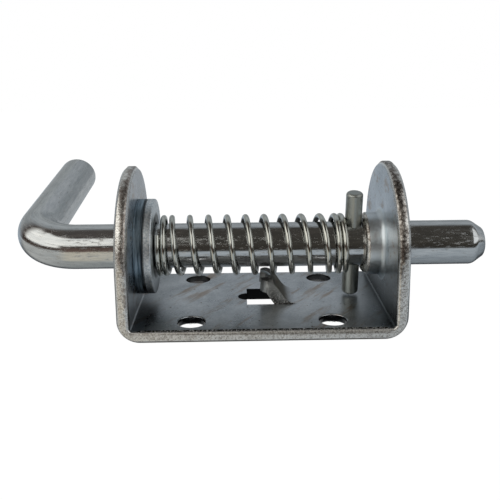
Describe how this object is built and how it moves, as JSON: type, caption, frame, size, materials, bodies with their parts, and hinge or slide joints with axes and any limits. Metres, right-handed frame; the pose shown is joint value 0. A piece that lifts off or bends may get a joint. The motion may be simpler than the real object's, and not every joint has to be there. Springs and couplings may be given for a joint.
{
  "type": "spring loaded gate latch",
  "caption": "Gate latch: a round bolt with a bent handle slides through both ears of a folded steel bracket, pushed out by a coil spring against a cross pin and held open by a catch.",
  "frame": {"origin": "centre of the four screw holes, on the underside of the bracket's base", "axes": "+X along the bolt towards its tip, +Y towards the handle's free end, +Z away from the mounting surface"},
  "size_m": [0.1365, 0.0835, 0.0434],
  "materials": {
    "bracket_plate": "bright zinc plate on sheet steel",
    "bolt_plate": "bright zinc plate on drawn bar",
    "pin_steel": "plain steel pin, lightly dulled",
    "spring_wire": "zinc plated spring wire",
    "washer_plate": "zinc plate, dull"
  },
  "bodies": {
    "bracket": {"bracket": "bracket_plate"},
    "rolling_washer": {"inner_washer": "washer_plate"},
    "spring_seat": {"outer_washer": "washer_plate", "spring": "spring_wire"},
    "bolt": {"bolt_rod": "bolt_plate", "cross_pin": "pin_steel"}
  },
  "joints": [
    {"name": "catch_roll", "type": "hinge", "parent": "bracket", "child": "rolling_washer", "pos_m": [0, 0, 0.01965], "axis": [1, 0, 0], "range_deg": [0, 60.5]},
    {"name": "bolt_turn", "type": "hinge", "parent": "rolling_washer", "child": "spring_seat", "pos_m": [0, 0, 0.01965], "axis": [1, 0, 0], "continuous": true},
    {"name": "bolt_slide", "type": "slide", "parent": "spring_seat", "child": "bolt", "axis": [-1, 0, 0], "range_m": [0, 0.0296], "stiffness_N_per_m": 1590, "springref_m": -0.0105, "deforming": ["spring"]}
  ],
  "couplings": [
    {"joint": "catch_roll", "follows": "bolt_slide", "rad_per_m": 35.378}
  ]
}
